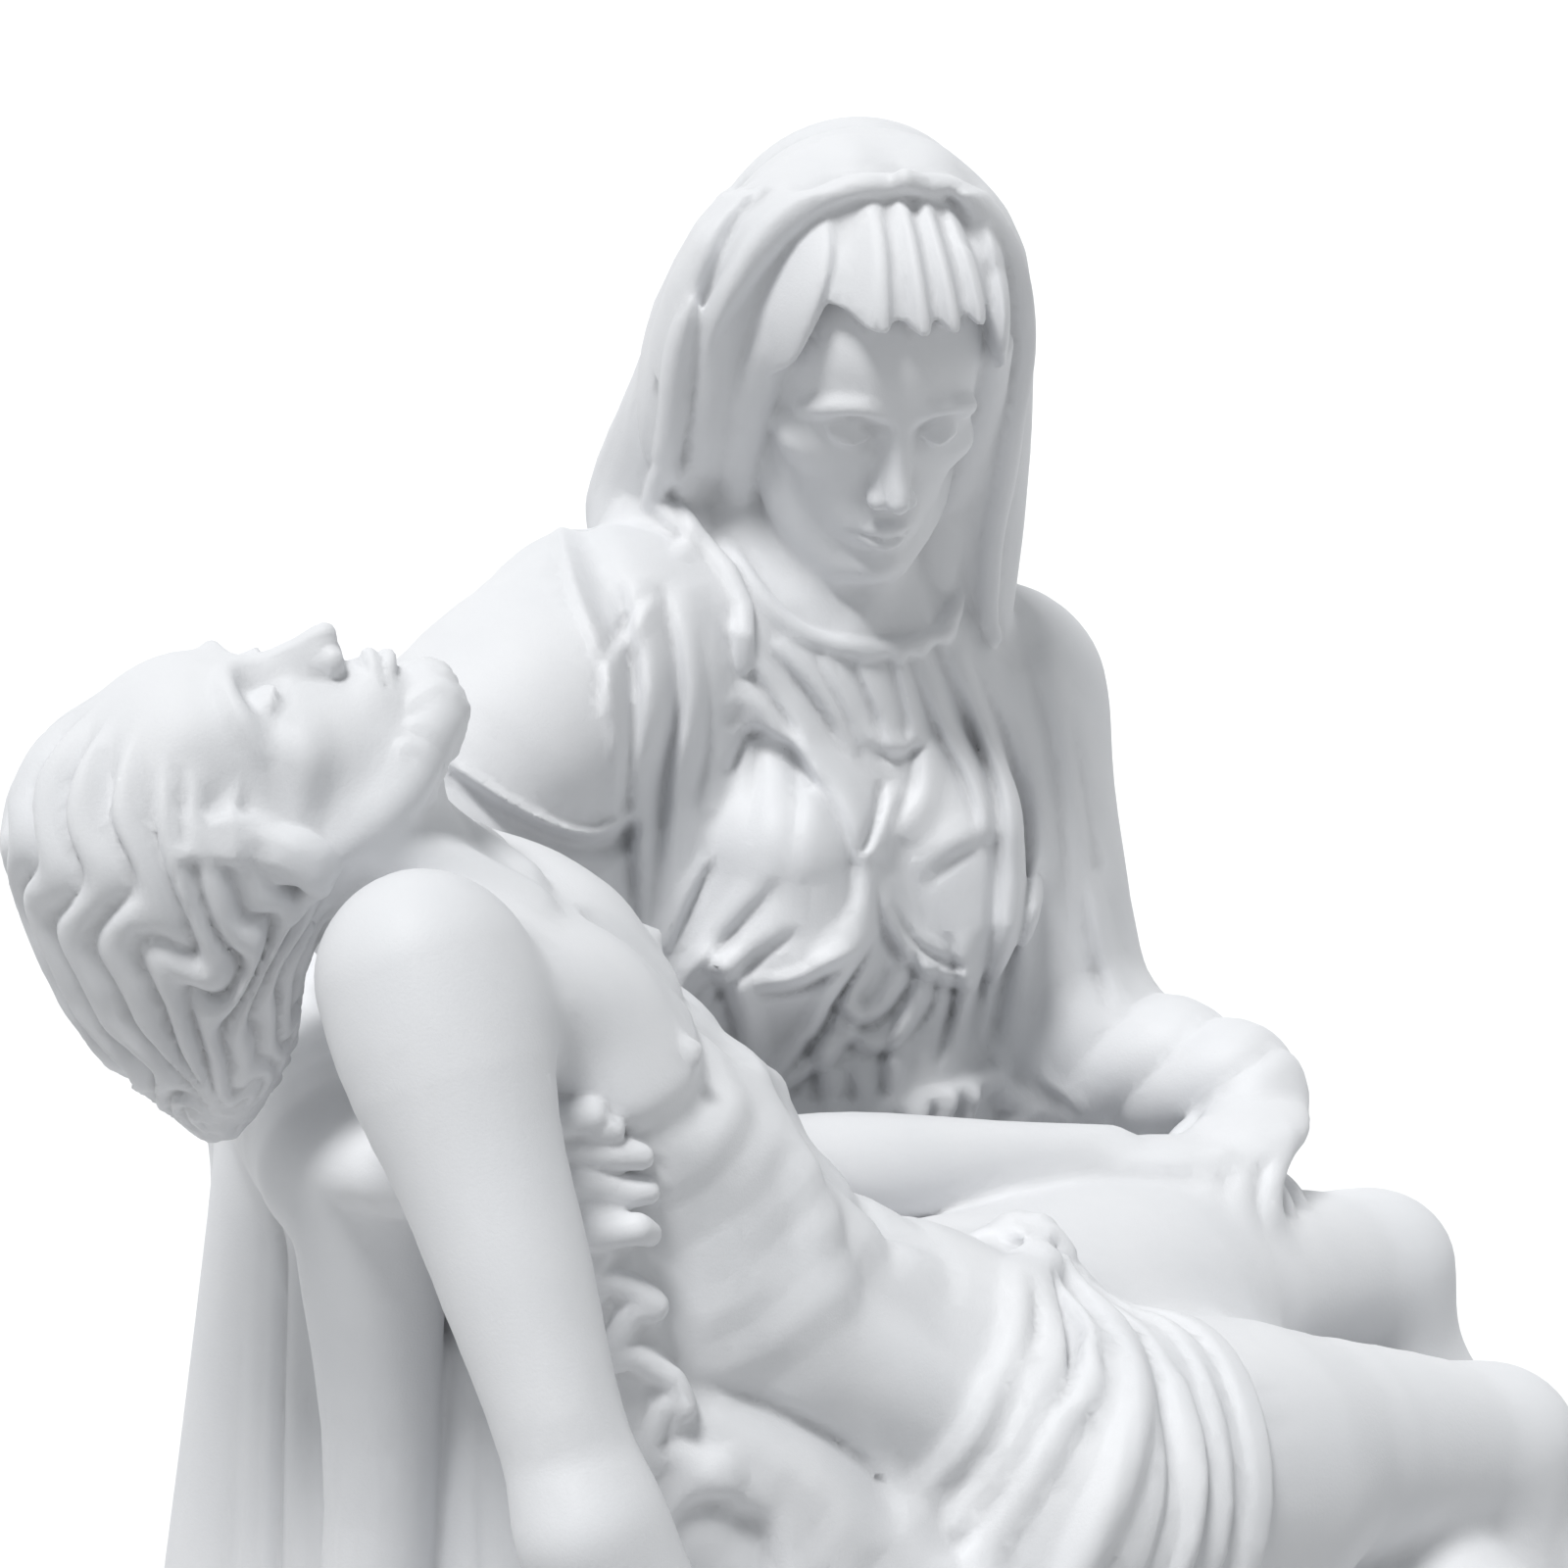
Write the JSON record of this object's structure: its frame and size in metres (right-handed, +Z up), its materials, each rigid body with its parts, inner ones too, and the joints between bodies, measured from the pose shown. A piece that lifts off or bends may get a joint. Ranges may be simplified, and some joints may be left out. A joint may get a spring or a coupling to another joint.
{
  "type": "pieta statue",
  "caption": "Cast figure group of a seated veiled woman holding a dead man across her lap, on a low rounded plinth; stands on its flat underside.",
  "frame": {"origin": "middle of the plinth's flat underside", "axes": "+Z up, -Y to the front that the seated figure faces, +X to its left hand"},
  "size_m": [0.2723, 0.192, 0.3001],
  "materials": {
    "cast_marble": "matt white bonded marble, rubbed smooth, with a faint fine grain"
  },
  "bodies": {
    "root": {"pieta_statue": "cast_marble"}
  },
  "joints": []
}
